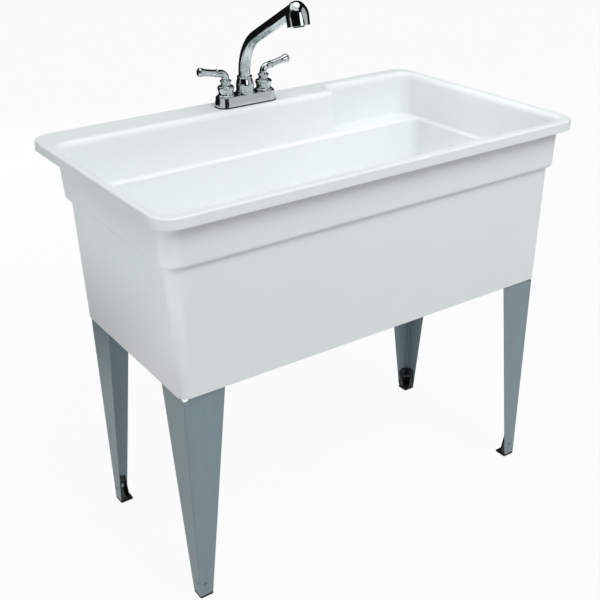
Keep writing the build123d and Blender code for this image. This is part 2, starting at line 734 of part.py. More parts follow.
# ---- bells, cartridges, stems and handles, the same on both sides with the lever turned out ----
crown = tap_top + bell_height
bell_parts = []
for temperature, side in (("hot", -1), ("cold", 1)):
    place_x = side * tap_side
    place = (place_x, tap_y)
    with BuildPart() as bell:
        with BuildSketch(Plane.XZ.offset(-tap_y)) as half:
            with BuildLine():
                Polyline(
                    (place_x, tap_top), (place_x + bell_base_radius, tap_top),
                    (place_x + bell_base_radius, tap_top + bell_base_height),
                )
                Spline(
                    (place_x + bell_base_radius, tap_top + bell_base_height),
                    (place_x + bell_waist_radius, tap_top + bell_waist_height),
                    (place_x + bell_shoulder_radius, tap_top + bell_shoulder_height),
                    tangents=((-1, 0.5), (0, 1)),
                )
                Spline(
                    (place_x + bell_shoulder_radius, tap_top + bell_shoulder_height),
                    (place_x + bell_ogee_radius, tap_top + bell_ogee_height),
                    (place_x + bell_neck_radius, tap_top + bell_neck_height),
                    tangents=((0, 1), (0, 1)),
                )
                Polyline(
                    (place_x + bell_neck_radius, tap_top + bell_neck_height),
                    (place_x + bell_neck_radius, crown), (place_x, crown),
                    (place_x, tap_top),
                )
            make_face()
        revolve(half.sketch, upright(*place))
        barrel_room = disc(tap_top, barrel_radius + running_gap, place)
        extrude(barrel_room, amount=bell_crown_height, mode=Mode.SUBTRACT)
        cartridge_rise = rim_height + cartridge_top - tap_top
        cartridge_room = disc(tap_top, cartridge_radius + cover_clearance, place)
        extrude(cartridge_room, amount=cartridge_rise, mode=Mode.SUBTRACT)
        neck_room = disc(tap_top, cartridge_neck_radius + cover_clearance, place)
        extrude(neck_room, amount=bell_height, mode=Mode.SUBTRACT)
    bell.part.label = temperature + "_bell"

    base = rim_height + cartridge_floor
    top = rim_height + cartridge_top
    with BuildPart() as cartridge:
        body = [
            (inlet_radius / 2, base), (cartridge_radius, base), (cartridge_radius, top),
            (cartridge_neck_radius, top), (cartridge_neck_radius, top + cartridge_neck_height),
            (stem_radius + running_gap, top + cartridge_neck_height),
            (stem_radius + running_gap, base + cartridge_base + cartridge_chamber_height),
            (cartridge_chamber_radius, base + cartridge_base + cartridge_chamber_height),
            (cartridge_chamber_radius, base + cartridge_base), (inlet_radius / 2, base + cartridge_base),
        ]
        revolve(turned(body, *place), upright(*place))
    cartridge.part.label = temperature + "_cartridge"

    with BuildPart() as stem:
        extrude(disc(rim_height + stem_lift, stem_foot_radius, place), amount=stem_foot_height)
        extrude(disc(rim_height + stem_lift, stem_radius, place), amount=stem_top - stem_lift)
    stem.part.label = temperature + "_stem"

    hub_foot = crown + handle_gap
    hub_top = hub_foot + hub_height
    turn_angle = 90 - lever_rise
    with BuildPart() as handle:
        with BuildSketch(Plane.XZ.offset(-tap_y)) as hub_half:
            with BuildLine():
                bead = hub_foot + hub_bead_height
                Polyline(
                    (place_x, hub_foot), (place_x + hub_foot_radius, hub_foot),
                    (place_x + hub_foot_radius, bead - hub_bead_width / 2),
                )
                ThreePointArc(
                    (place_x + hub_foot_radius, bead - hub_bead_width / 2),
                    (place_x + hub_bead_radius, bead),
                    (place_x + hub_foot_radius, bead + hub_bead_width / 2),
                )
                Polyline(
                    (place_x + hub_foot_radius, bead + hub_bead_width / 2),
                    (place_x + hub_neck_radius, bead + hub_bead_width), (place_x + lever_radius, hub_top),
                    (place_x, hub_top), (place_x, hub_foot),
                )
            make_face()
        revolve(hub_half.sketch, upright(*place))
        with BuildLine(Plane.XZ.offset(-tap_y)) as elbow:
            JernArc((place_x, hub_top), (0, 1), lever_bend, -side * turn_angle)
        sweep(disc(hub_top, lever_radius, place), path=elbow.line)
        elbow_x = place_x + side * lever_bend * (1 - cos(radians(turn_angle)))
        elbow_z = hub_top + lever_bend * sin(radians(turn_angle))
        direction = (side * cos(radians(lever_rise)), 0, sin(radians(lever_rise)))
        along = Plane((elbow_x, tap_y, elbow_z), x_dir=direction, z_dir=(0, -side, 0))
        bead_end = lever_bead_start + lever_bead_width
        with BuildSketch(along) as lever_half:
            with BuildLine():
                Polyline((0, 0), (0, lever_radius), (lever_bead_start, lever_slim_radius))
                ThreePointArc(
                    (lever_bead_start, lever_slim_radius),
                    (lever_bead_start + lever_bead_width / 2, lever_bead_radius),
                    (bead_end, lever_slim_radius),
                )
                Line((bead_end, lever_slim_radius), (lever_flare_start, lever_slim_radius))
                Spline(
                    (lever_flare_start, lever_slim_radius), (lever_cap_start, lever_cap_radius),
                    tangents=((1, 0), (1, 0.1)),
                )
                Polyline(
                    (lever_cap_start, lever_cap_radius),
                    (lever_cap_start, lever_cap_radius - lever_cap_groove),
                    (lever_cap_start + lever_cap_groove, lever_cap_radius - lever_cap_groove),
                    (lever_cap_start + lever_cap_groove, lever_cap_radius),
                )
                EllipticalCenterArc(
                    (lever_cap_start + lever_cap_groove, 0),
                    lever_length - lever_cap_start - lever_cap_groove, lever_cap_radius,
                    start_angle=0, arc_size=90,
                )
                Line((lever_length, 0), (0, 0))
            make_face()
        revolve(lever_half.sketch, Axis((elbow_x, tap_y, elbow_z), direction))
        stem_bore = disc(hub_foot, stem_radius + running_gap, place)
        extrude(stem_bore, amount=rim_height + stem_top - hub_foot, mode=Mode.SUBTRACT)
        with BuildSketch(Plane.XZ.offset(-tap_y)) as screw_hole:
            with Locations((place_x, hub_foot + set_screw_lift)):
                Circle(set_screw_radius)
        extrude(screw_hole.sketch, amount=-2 * hub_neck_radius, mode=Mode.SUBTRACT)
    handle.part.label = temperature + "_handle"

    with BuildPart() as handle_screw:
        with BuildSketch(Plane.XZ.offset(-tap_y - stem_radius)) as set_screw:
            with Locations((place_x, hub_foot + set_screw_lift)):
                Circle(set_screw_radius)
        extrude(set_screw.sketch, amount=-set_screw_length)
        with BuildSketch(Plane.XZ.offset(-tap_y - stem_radius - set_screw_length)) as key:
            with Locations((place_x, hub_foot + set_screw_lift)):
                RegularPolygon(set_screw_radius / 2, 6)
        extrude(key.sketch, amount=set_screw_length / 2, mode=Mode.SUBTRACT)
    handle_screw.part.label = temperature + "_handle_screw"
    bell_parts += [bell.part, cartridge.part, stem.part, handle.part, handle_screw.part]

# ---- hub, spout, its seals, collar and hose guide ----
with BuildPart() as spout_hub:
    with BuildSketch(Plane.XZ.offset(-tap_y)) as hub_section:
        with BuildLine():
            Polyline(
                (0, tap_top), (hub_flange_radius, tap_top),
                (hub_flange_radius, tap_top + hub_flange_height),
                (hub_barrel_radius, tap_top + hub_flange_height),
                (hub_barrel_radius, tap_top + hub_barrel_height),
            )
            TangentArc(
                (hub_barrel_radius, tap_top + hub_barrel_height),
                (hub_top_radius, tap_top + hub_total_height), tangent=(0, 1),
            )
            Polyline(
                (hub_top_radius, tap_top + hub_total_height), (0, tap_top + hub_total_height),
                (0, tap_top),
            )
        make_face()
    revolve(hub_section.sketch, upright(0, tap_y))
    spout_foot = post_foot + spout_lift
    flange_top = spout_foot + spout_flange_height + spout_lift
    flange_room = disc(tap_top, boss_radius + running_gap, (0, tap_y))
    extrude(flange_room, amount=flange_top - tap_top, mode=Mode.SUBTRACT)
    tube_room = disc(tap_top, spout_radius + spout_clearance, (0, tap_y))
    extrude(tube_room, amount=hub_total_height, mode=Mode.SUBTRACT)
spout_hub.part.label = "spout_hub"

with BuildPart() as spout_o_rings:
    for step in (ring_first, ring_first + ring_spacing):
        with BuildSketch(Plane.XZ.offset(-tap_y)) as ring_section:
            with Locations((spout_bore - running_gap - ring_radius, post_foot + step)):
                Circle(ring_radius)
        revolve(ring_section.sketch, upright(0, tap_y))
spout_o_rings.part.label = "spout_o_rings"

with BuildPart() as spout:
    with BuildLine(Plane.YZ) as spout_path:
        rise_line = Line((tap_y, spout_foot), (tap_y, rim_height + spout_straight))
        bend = JernArc(rise_line @ 1, (0, 1), spout_bend, 90 - spout_rise)
        arm = Line(bend @ 1, bend @ 1 + spout_arm * (bend % 1))
    sweep(ring(spout_foot, spout_radius, spout_bore, (0, tap_y)), path=spout_path.line)
    spout_flange = ring(spout_foot, spout_flange_radius, spout_bore, (0, tap_y))
    extrude(spout_flange, amount=spout_flange_height)
spout.part.label = "spout"

bend_angle = radians(90 - spout_rise)
arm_y = tap_y - spout_bend * (1 - cos(bend_angle))
arm_z = rim_height + spout_straight + spout_bend * sin(bend_angle)
arm_direction = Vector(0, -cos(radians(spout_rise)), sin(radians(spout_rise)))
mouth = Vector(0, arm_y, arm_z) + arm_direction * spout_arm


def across_arm(distance):
    """Plane square to the spout arm, at a distance beyond its mouth, facing away from it."""
    return Plane(mouth + arm_direction * distance, x_dir=(1, 0, 0), z_dir=arm_direction)


with BuildPart() as spout_collar:
    collar_level = rim_height + collar_lift
    extrude(ring(collar_level, collar_radius, spout_radius, (0, tap_y)), amount=collar_height)
    rims = spout_collar.edges().filter_by(GeomType.CIRCLE).sort_by(SortBy.RADIUS)[-2:]
    fillet(rims, collar_round)
spout_collar.part.label = "spout_collar"

with BuildPart() as hose_guide:
    with BuildSketch(across_arm(0)) as bush:
        Circle(spout_bore)
        Circle(bush_bore, mode=Mode.SUBTRACT)
    extrude(bush.sketch, amount=-bush_length)
hose_guide.part.label = "hose_guide"

# ---- pull-out spray: head with its neck and plug, nozzle, button, spring and hose ----
spray_centre = Vector(0, tap_y - spray_reach, rim_height + spray_lift)
spray_axis = Vector(0, sin(radians(spray_tilt)), cos(radians(spray_tilt)))
spray_out = Vector(0, -cos(radians(spray_tilt)), sin(radians(spray_tilt)))
spray_section = Plane(spray_centre, x_dir=spray_out, z_dir=(-1, 0, 0))


def spray_half(inset):
    """Half section of the spray head, set in by a wall thickness."""
    halfway = sin(radians(45))
    with BuildSketch(spray_section) as half:
        with BuildLine():
            Polyline(
                (0, 0), (spray_mouth_radius - inset, 0),
                (spray_radius - inset, spray_straight),
            )
            Spline(
                (spray_radius - inset, spray_straight),
                ((spray_radius - inset) * halfway, spray_straight + (spray_dome - inset) * halfway),
                (0, spray_straight + spray_dome - inset),
                tangents=((0, 1), (-1, 0)),
            )
            Line((0, spray_straight + spray_dome - inset), (0, 0))
        make_face()
    return half.sketch


with BuildPart() as spray_head:
    revolve(spray_half(0), Axis(spray_centre, spray_axis))
    mouth_edge = spray_head.edges().filter_by(GeomType.CIRCLE).sort_by_distance(spray_centre)
    fillet(mouth_edge[0], spray_mouth_round)
    neck_reach = (spray_reach - (tap_y - mouth.Y)) / cos(radians(spout_rise)) - spout_radius
    with BuildSketch(across_arm(spray_joint_gap)) as neck:
        Circle(spout_radius)
    extrude(neck.sketch, amount=neck_reach)
    revolve(spray_half(spray_wall), Axis(spray_centre, spray_axis), mode=Mode.SUBTRACT)
    with BuildSketch(across_arm(spray_joint_gap)) as plug:
        Circle(bush_bore - plug_clearance)
    extrude(plug.sketch, amount=-plug_length)
    with BuildSketch(across_arm(-plug_length)) as spray_way:
        Circle(spray_way_radius)
    extrude(spray_way.sketch, amount=plug_length + neck_reach, mode=Mode.SUBTRACT)
    button_plane = Plane(
        spray_centre + spray_axis * button_level + spray_out * nozzle_post_radius,
        x_dir=(1, 0, 0), z_dir=spray_out,
    )
    with BuildSketch(button_plane) as button_slot:
        RectangleRounded(
            button_width + 2 * button_clearance, button_height + 2 * button_clearance,
            button_width / 2,
        )
    extrude(button_slot.sketch, amount=2 * spray_radius, mode=Mode.SUBTRACT)
spray_head.part.label = "spray_head"

with BuildPart() as spray_nozzle:
    nozzle_radius = spray_mouth_radius - spray_wall - nozzle_clearance
    face_plane = Plane(spray_centre + spray_axis * nozzle_recess, x_dir=(1, 0, 0), z_dir=spray_axis)
    with BuildSketch(face_plane) as plate:
        Circle(nozzle_radius)
        with PolarLocations(nozzle_hole_ring, nozzle_hole_count):
            Circle(nozzle_hole_radius, mode=Mode.SUBTRACT)
    extrude(plate.sketch, amount=nozzle_thickness)
    boss_plane = face_plane.offset(-nozzle_recess - nozzle_boss_drop)
    with BuildSketch(boss_plane) as nozzle_boss:
        Circle(nozzle_boss_radius)
    extrude(nozzle_boss.sketch, amount=nozzle_recess + nozzle_boss_drop)
    with BuildSketch(face_plane) as post:
        Circle(nozzle_post_radius)
    extrude(post.sketch, amount=nozzle_post_top - nozzle_recess)
    with BuildSketch(boss_plane) as bore:
        Circle(nozzle_bore_radius)
    extrude(bore.sketch, amount=nozzle_bore_depth, mode=Mode.SUBTRACT)
spray_nozzle.part.label = "spray_nozzle"

button_inner = spray_radius - spray_wall - button_seat_gap
with BuildPart() as spray_button:
    with BuildSketch(button_plane.offset(button_inner - nozzle_post_radius)) as cap:
        RectangleRounded(button_width, button_height, button_width / 2 - running_gap)
    extrude(cap.sketch, amount=spray_radius + button_proud - button_inner)
    fillet(spray_button.faces().sort_by(Axis(spray_centre, spray_out))[-1].edges(), button_round)
    flange_plane = button_plane.offset(button_inner - nozzle_post_radius - button_flange_thickness)
    with BuildSketch(flange_plane) as flange:
        RectangleRounded(
            button_width + 2 * button_flange_lap, button_height + 2 * button_flange_lap,
            button_width / 2,
        )
    extrude(flange.sketch, amount=button_flange_thickness)
spray_button.part.label = "spray_button"

with BuildPart() as button_spring:
    spring_room = button_inner - button_flange_thickness - spring_start
    coil = Helix(
        pitch=(spring_room - 2 * spring_wire) / spring_turns, height=spring_room - 2 * spring_wire,
        radius=spring_radius, center=spray_centre + spray_axis * button_level
        + spray_out * (spring_start + spring_wire), direction=spray_out,
    )
    with BuildSketch(Plane(coil @ 0, z_dir=coil % 0)) as wire:
        Circle(spring_wire)
    sweep(wire.sketch, path=coil, is_frenet=True)
button_spring.part.label = "button_spring"

with BuildPart() as spray_hose:
    with BuildSketch(across_arm(spray_joint_gap - plug_length)) as ferrule:
        Circle(ferrule_radius)
    extrude(ferrule.sketch, amount=-ferrule_length)
    with BuildSketch(across_arm(spray_joint_gap - plug_length)) as hose:
        Circle(hose_radius)
    extrude(hose.sketch, amount=-hose_length)
    with BuildSketch(across_arm(spray_joint_gap - plug_length)) as hose_bore:
        Circle(spray_way_radius)
    extrude(hose_bore.sketch, amount=-hose_length, mode=Mode.SUBTRACT)
spray_hose.part.label = "spray_hose"

# ---- waste: body with cross bars, seals, locknut, tailpiece with its nut, and the stopper ----
waste_place = (0, waste_y)
waste_axis = upright(0, waste_y)
sump_top = floor_level - floor_fall
sump_under = floor_under - floor_fall
waste_foot = sump_top - waste_length
with BuildPart() as waste_body:
    extrude(disc(sump_top, waste_flange_radius, waste_place), amount=waste_flange_height)
    fillet(waste_body.faces().sort_by(Axis.Z)[-1].outer_wire().edges(), waste_flange_round)
    extrude(disc(sump_top, waste_thread_radius, waste_place), amount=-waste_length)
    flange_level = sump_top + waste_flange_height
    cup_floor = flange_level - waste_cup_depth
    cup = disc(flange_level, waste_cup_radius, waste_place)
    extrude(cup, amount=-waste_cup_depth, mode=Mode.SUBTRACT)
    through = disc(flange_level, waste_bore, waste_place)
    extrude(through, amount=-waste_length - waste_flange_height, mode=Mode.SUBTRACT)
    with BuildSketch(Plane.XY.offset(cup_floor - bar_drop)) as bars:
        with Locations(waste_place):
            Rectangle(2 * waste_bore + bar_width, bar_width)
            Rectangle(bar_width, 2 * waste_bore + bar_width)
    extrude(bars.sketch, amount=-bar_height)
waste_body.part.label = "waste_body"

with BuildPart() as waste_gasket:
    gasket_ring = ring(sump_under, waste_ring_radius, waste_thread_radius + running_gap, waste_place)
    extrude(gasket_ring, amount=-waste_gasket_thickness)
waste_gasket.part.label = "waste_gasket"

washer_level = sump_under - waste_gasket_thickness
with BuildPart() as waste_washer:
    washer_ring = ring(washer_level, waste_ring_radius, waste_thread_radius + running_gap, waste_place)
    extrude(washer_ring, amount=-waste_washer_thickness)
waste_washer.part.label = "waste_washer"

locknut_level = washer_level - waste_washer_thickness
with BuildPart() as waste_locknut:
    extrude(disc(locknut_level, locknut_radius, waste_place), amount=-locknut_height)
    with BuildSketch(Plane.XY.offset(locknut_level)) as lugs:
        with Locations(waste_place):
            with PolarLocations(locknut_radius, locknut_lug_count):
                Rectangle(2 * locknut_lug_length, locknut_lug_width)
    extrude(lugs.sketch, amount=-locknut_height)
    locknut_bore = disc(locknut_level, waste_thread_radius + running_gap, waste_place)
    extrude(locknut_bore, amount=-locknut_height, mode=Mode.SUBTRACT)
waste_locknut.part.label = "waste_locknut"

with BuildPart() as waste_tailpiece:
    inner = tailpiece_radius - tailpiece_wall
    extrude(ring(waste_foot, tailpiece_radius, inner, waste_place), amount=-tailpiece_length)
    lip = ring(waste_foot, tailpiece_flange_radius, inner, waste_place)
    extrude(lip, amount=-tailpiece_flange_height)
    neck = ring(waste_foot, tailpiece_neck_radius, inner, waste_place)
    extrude(neck, amount=-tailpiece_flange_height - tailpiece_neck_length)
waste_tailpiece.part.label = "waste_tailpiece"

with BuildPart() as tailpiece_nut:
    nut_foot = waste_foot - tailpiece_flange_height - slip_nut_lip
    extrude(disc(nut_foot, slip_nut_radius, waste_place), amount=slip_nut_height)
    with BuildSketch(Plane.XY.offset(nut_foot)) as ribs:
        with Locations(waste_place):
            with PolarLocations(slip_nut_radius, slip_nut_rib_count):
                Circle(slip_nut_rib)
    extrude(ribs.sketch, amount=slip_nut_height)
    lip_hole = disc(nut_foot, tailpiece_neck_radius + cover_clearance, waste_place)
    extrude(lip_hole, amount=slip_nut_height, mode=Mode.SUBTRACT)
    thread_room = disc(nut_foot + slip_nut_lip, waste_thread_radius + running_gap, waste_place)
    extrude(thread_room, amount=slip_nut_height, mode=Mode.SUBTRACT)
tailpiece_nut.part.label = "tailpiece_nut"

with BuildPart() as waste_stopper:
    stopper_radius = waste_cup_radius - stopper_clearance
    stopper_top = cup_floor + stopper_thickness
    extrude(disc(cup_floor, stopper_radius, waste_place), amount=stopper_thickness)
    extrude(disc(cup_floor, waste_bore - stopper_clearance, waste_place), amount=-stopper_plug_depth)
    extrude(disc(stopper_top, stopper_neck_radius, waste_place), amount=stopper_neck_height)
    knob_level = stopper_top + stopper_neck_height
    extrude(disc(knob_level, stopper_knob_radius, waste_place), amount=stopper_knob_height)
    knob_edges = waste_stopper.edges().filter_by_position(
        Axis.Z, knob_level - running_gap, knob_level + stopper_knob_height + running_gap
    )
    rim_edges = [edge for edge in knob_edges.filter_by(GeomType.CIRCLE)
                 if edge.radius > stopper_neck_radius + running_gap]
    fillet(rim_edges, stopper_knob_round)
waste_stopper.part.label = "waste_stopper"

# ---- one file for each piece ----
os.makedirs("parts", exist_ok=True)
pieces = [tub.part] + [leg_part for leg_part, hole_planes in legs] + feet + bell_parts + [
    foot_screws.part, foot_nuts.part, tap_gasket.part, tap_cover.part, tap_waterway.part,
    mounting_washers.part, mounting_nuts.part, spout_hub.part, spout_o_rings.part, spout.part,
    spout_collar.part, hose_guide.part, spray_head.part, spray_nozzle.part, spray_button.part,
    button_spring.part, spray_hose.part, waste_body.part, waste_gasket.part, waste_washer.part,
    waste_locknut.part, waste_tailpiece.part, tailpiece_nut.part, waste_stopper.part,
]
for piece in pieces:
    export_step(piece, "parts/" + piece.label + ".step")
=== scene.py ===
import json
import math

import bmesh
import bpy
import numpy as np
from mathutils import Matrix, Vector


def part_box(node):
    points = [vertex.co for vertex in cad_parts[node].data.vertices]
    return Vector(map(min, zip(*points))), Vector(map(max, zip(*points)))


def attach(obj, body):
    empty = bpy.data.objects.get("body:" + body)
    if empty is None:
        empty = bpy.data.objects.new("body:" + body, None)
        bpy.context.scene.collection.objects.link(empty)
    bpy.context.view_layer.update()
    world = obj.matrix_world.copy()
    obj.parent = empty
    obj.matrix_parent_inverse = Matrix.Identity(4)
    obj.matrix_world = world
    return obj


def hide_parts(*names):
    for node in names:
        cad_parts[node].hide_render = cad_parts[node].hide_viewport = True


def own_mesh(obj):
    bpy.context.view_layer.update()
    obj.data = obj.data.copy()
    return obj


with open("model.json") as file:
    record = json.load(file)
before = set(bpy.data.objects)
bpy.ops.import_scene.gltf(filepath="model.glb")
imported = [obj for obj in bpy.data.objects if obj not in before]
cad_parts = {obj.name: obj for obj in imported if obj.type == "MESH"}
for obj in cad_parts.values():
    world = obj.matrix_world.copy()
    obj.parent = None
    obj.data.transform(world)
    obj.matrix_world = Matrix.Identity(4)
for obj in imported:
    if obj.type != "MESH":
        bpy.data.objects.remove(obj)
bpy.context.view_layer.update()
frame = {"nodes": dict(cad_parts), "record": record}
scene = bpy.context.scene
nodes = frame["nodes"]

# ---- tub -------------------------------------------------------------------------------------
# A deep laundry bowl moulded in one piece from white polypropylene, with a turned-down rim, a tap
# deck, a shelf beside it and a narrow ledge at the shelf's level. The skin has a mould's faint
# orange peel, flows of slightly different white, and hair scratches, most on the bowl's floor.


class Value:
    """A shader socket that formulas can use: every operator adds the Math node it stands for."""

    def __init__(self, finish, socket):
        self.finish = finish
        self.socket = socket

    def math(self, operation, *terms):
        settings = {"operation": operation}
        inputs = {place: term for place, term in enumerate((self, *terms))}
        return self.finish.node("ShaderNodeMath", settings, inputs)

    def __add__(self, other):
        return self.math("ADD", other)

    def __sub__(self, other):
        return self.math("SUBTRACT", other)

    def __rsub__(self, other):
        return (self * -1) + other

    def __mul__(self, other):
        return self.math("MULTIPLY", other)

    __radd__ = __add__
    __rmul__ = __mul__

    def step(self, low, high):
        """0 below low, 1 above high and a smooth ramp between them."""
        settings = {"interpolation_type": "SMOOTHSTEP"}
        inputs = {"Value": self, "From Min": low, "From Max": high}
        return self.finish.node("ShaderNodeMapRange", settings, inputs)


class Shading:
    """A tree of shader nodes. node() adds one, sets it up, fills its sockets and gives an output."""

    def __init__(self, tree):
        self.tree = tree
        self.tree.nodes.clear()

    def node(self, kind, settings, inputs, output=0):
        made = self.tree.nodes.new(kind)
        for name, setting in settings.items():
            setattr(made, name, setting)
        for name, value in inputs.items():
            self.fill(made.inputs[name], value)
        return Value(self, made.outputs[output])

    def fill(self, socket, value):
        if isinstance(value, Value):
            self.tree.links.new(value.socket, socket)
        else:
            socket.default_value = value

    def looked_at(self):
        """1 for a ray of the camera, of a mirror or through glass, 0 for a ray that only lights."""
        ray = [self.node("ShaderNodeLightPath", {}, {}, "Is " + kind + " Ray")
               for kind in ("Camera", "Glossy", "Transmission")]
        return ray[0].math("MAXIMUM", ray[1]).math("MAXIMUM", ray[2])


class Finish(Shading):
    """One material: a Principled skin, and the patterns that vary it over a surface."""

    def __init__(self, name):
        self.material = bpy.data.materials.new(name)
        self.material.use_nodes = True
        super().__init__(self.material.node_tree)
        self.skin = self.tree.nodes.new("ShaderNodeBsdfPrincipled")
        self.output = self.tree.nodes.new("ShaderNodeOutputMaterial")
        self.tree.links.new(self.skin.outputs[0], self.output.inputs[0])
        self.place = self.node("ShaderNodeTexCoord", {}, {}, "Object")

    def set(self, **sockets):
        """Sets sockets of the skin by name; an underscore in the name stands for a space."""
        for name, value in sockets.items():
            self.fill(self.skin.inputs[name.replace("_", " ")], value)

    def along(self, axis):
        """One coordinate of the piece, in metres."""
        return self.node("ShaderNodeSeparateXYZ", {}, {"Vector": self.place}, axis)

    def noise(self, scale, detail=2.0, roughness=0.5, place=None):
        """Cloudy pattern from 0 to 1 with about scale clouds to the metre, or to place's unit."""
        inputs = {"Vector": place or self.place, "Scale": scale, "Detail": detail,
                  "Roughness": roughness}
        return self.node("ShaderNodeTexNoise", {}, inputs)

    def stretched(self, scale, turn=(0.0, 0.0, 0.0)):
        """The piece's own coordinates, turned and then stretched along each axis."""
        settings = {"vector_type": "POINT"}
        turned = self.node("ShaderNodeMapping", settings, {"Vector": self.place, "Rotation": turn})
        return self.node("ShaderNodeMapping", settings, {"Vector": turned, "Scale": scale})

    def mix(self, mask, first, second):
        """first where the mask is 0, second where it is 1."""
        return self.node("ShaderNodeMix", {"data_type": "RGBA"}, {0: mask, 6: first, 7: second}, 2)

    def bump(self, height, strength, distance):
        """Relief of the skin: height is its pattern, distance its full depth in metres, and
        strength is how much of it shows."""
        inputs = {"Strength": strength, "Distance": distance, "Height": height}
        return self.node("ShaderNodeBump", {}, inputs)


def dress(finish, *names):
    """Gives CAD nodes a finish in place of the plain one that they were packed with."""
    for name in names:
        nodes[name].data.materials.clear()
        nodes[name].data.materials.append(finish.material)


tub = Finish("tub_polypropylene")
grey_white = (0.846, 0.866, 0.868, 1)
clear_white = (0.876, 0.893, 0.895, 1)
scratch_grey = (0.72, 0.75, 0.75, 1)
scratch_turn = 0.6
cross_scratch_turn = -0.35
bowl_floor = 0.528
scratches_end = 0.560
tub_flow = tub.noise(5.0, detail=4.0, roughness=0.55)
tub_cloud = tub.noise(38.0, detail=3.0)
tub_peel = tub.noise(420.0, roughness=0.45)
tub_white = tub.mix(tub_flow * 0.7 + tub_cloud * 0.3, grey_white, clear_white)
scratch_place = tub.stretched((90.0, 900.0, 200.0), (0.0, 0.0, scratch_turn))
scratches = tub.noise(1.0, roughness=0.6, place=scratch_place).step(0.66, 0.72)
cross_scratch_place = tub.stretched((760.0, 70.0, 180.0), (0.0, 0.0, cross_scratch_turn))
cross_scratches = tub.noise(1.0, roughness=0.6, place=cross_scratch_place).step(0.67, 0.73)
low_down = 1 - tub.along("Z").step(bowl_floor, scratches_end)
wear = (scratches + cross_scratches) * (low_down * 0.8 + 0.12)
tub.set(
    Base_Color=tub.mix(wear * 0.35, tub_white, scratch_grey),
    Roughness=0.30 + tub_cloud * 0.10 + wear * 0.15,
    Normal=tub.bump(tub_peel + tub_flow * 3.0 - wear * 0.4, strength=0.16, distance=0.0006),
    IOR=1.49,
)
dress(tub, "tub")

# ---- legs ------------------------------------------------------------------------------------
# Four angles pressed from steel sheet, tapering to the foot, with a notch across the bend at the
# top. They are sprayed with a blue-grey enamel that has pale grains and faint runs down the leg.
leg = Finish("leg_enamel")
enamel_dark = (0.198, 0.268, 0.296, 1)
enamel_light = (0.252, 0.332, 0.360, 1)
enamel_grain = (0.33, 0.405, 0.435, 1)
leg_grain = leg.noise(900.0, roughness=0.6)
leg_runs = leg.noise(1.0, detail=3.0, place=leg.stretched((60.0, 60.0, 5.0)))
leg_cloud = leg.noise(14.0, detail=3.0)
leg_blue = leg.mix(leg_runs * 0.5 + leg_cloud * 0.5, enamel_dark, enamel_light)
leg.set(
    Base_Color=leg.mix(leg_grain.step(0.60, 0.75) * 0.25, leg_blue, enamel_grain),
    Roughness=0.36 + leg_cloud * 0.16,
    Metallic=0.15,
    Normal=leg.bump(leg_grain, strength=0.25, distance=0.0003),
)
dress(leg, "leg_front_left", "leg_front_right", "leg_back_left", "leg_back_right")

# ---- levelling feet --------------------------------------------------------------------------
# Black nylon feet with slotted upright walls; each slides on two screws to take up an uneven
# floor. The moulded skin has a fine spark-eroded grain and picks up dust near the floor.
foot = Finish("foot_nylon")
nylon_black = (0.012, 0.012, 0.013, 1)
dust_grey = (0.10, 0.098, 0.092, 1)
dust_reach = 0.018
foot_grain = foot.noise(1500.0, roughness=0.6)
foot_dust = foot.noise(120.0, detail=3.0, roughness=0.6).step(0.45, 0.8)
foot_low = 1 - foot.along("Z").step(0.0, dust_reach)
foot.set(
    Base_Color=foot.mix(foot_dust * (foot_low * 0.5 + 0.1), nylon_black, dust_grey),
    Roughness=0.46 + foot_grain * 0.18,
    Normal=foot.bump(foot_grain, strength=0.4, distance=0.0002),
)
dress(foot, "foot_front_left", "foot_front_right", "foot_back_left", "foot_back_right")

# ---- foot screws and nuts --------------------------------------------------------------------
# Pan-head machine screws and hexagon nuts, zinc plated: a dull grey metal with a faint blue
# bloom from the passivation and small dull patches.
zinc = Finish("zinc_plate")
zinc_grey = (0.36, 0.375, 0.365, 1)
zinc_blue = (0.31, 0.36, 0.40, 1)
zinc_bloom = zinc.noise(260.0, detail=3.0, roughness=0.6)
zinc_patches = zinc.noise(1300.0)
zinc.set(
    Base_Color=zinc.mix(zinc_bloom, zinc_grey, zinc_blue),
    Metallic=1.0,
    Roughness=0.24 + zinc_patches * 0.24,
    Normal=zinc.bump(zinc_patches, strength=0.2, distance=0.0001),
)
dress(zinc, "foot_screws", "foot_nuts")

# ---- tap cover, bells, hub, spout, levers and spray ------------------------------------------
# Brass and steel shells polished and chromed. The plate is a mirror with faint rings left by
# water drops and a little haze where hands and water run, more in its gloss than in its colour.
chrome = Finish("chrome_plate")
chrome_clean = (0.635, 0.685, 0.69, 1)
chrome_spotted = (0.54, 0.58, 0.585, 1)
haze = chrome.noise(45.0, detail=4.0, roughness=0.6)
drop_cells = {"Vector": chrome.place, "Scale": 210.0}
drops = chrome.node("ShaderNodeTexVoronoi", {"feature": "F1"}, drop_cells, "Distance")
drop_rings = drops.step(0.10, 0.16) * (1 - drops.step(0.20, 0.26)) * haze.step(0.52, 0.66)
chrome.set(
    Base_Color=chrome.mix(drop_rings * 0.5, chrome_clean, chrome_spotted),
    Metallic=1.0,
    Roughness=0.035 + haze * 0.05 + drop_rings * 0.10,
    Normal=chrome.bump(haze, strength=0.03, distance=0.0006),
)
dress(chrome, "tap_cover", "hot_bell", "cold_bell", "hot_handle", "cold_handle", "spout_hub",
      "spout_collar", "spout", "spray_head", "spray_button")

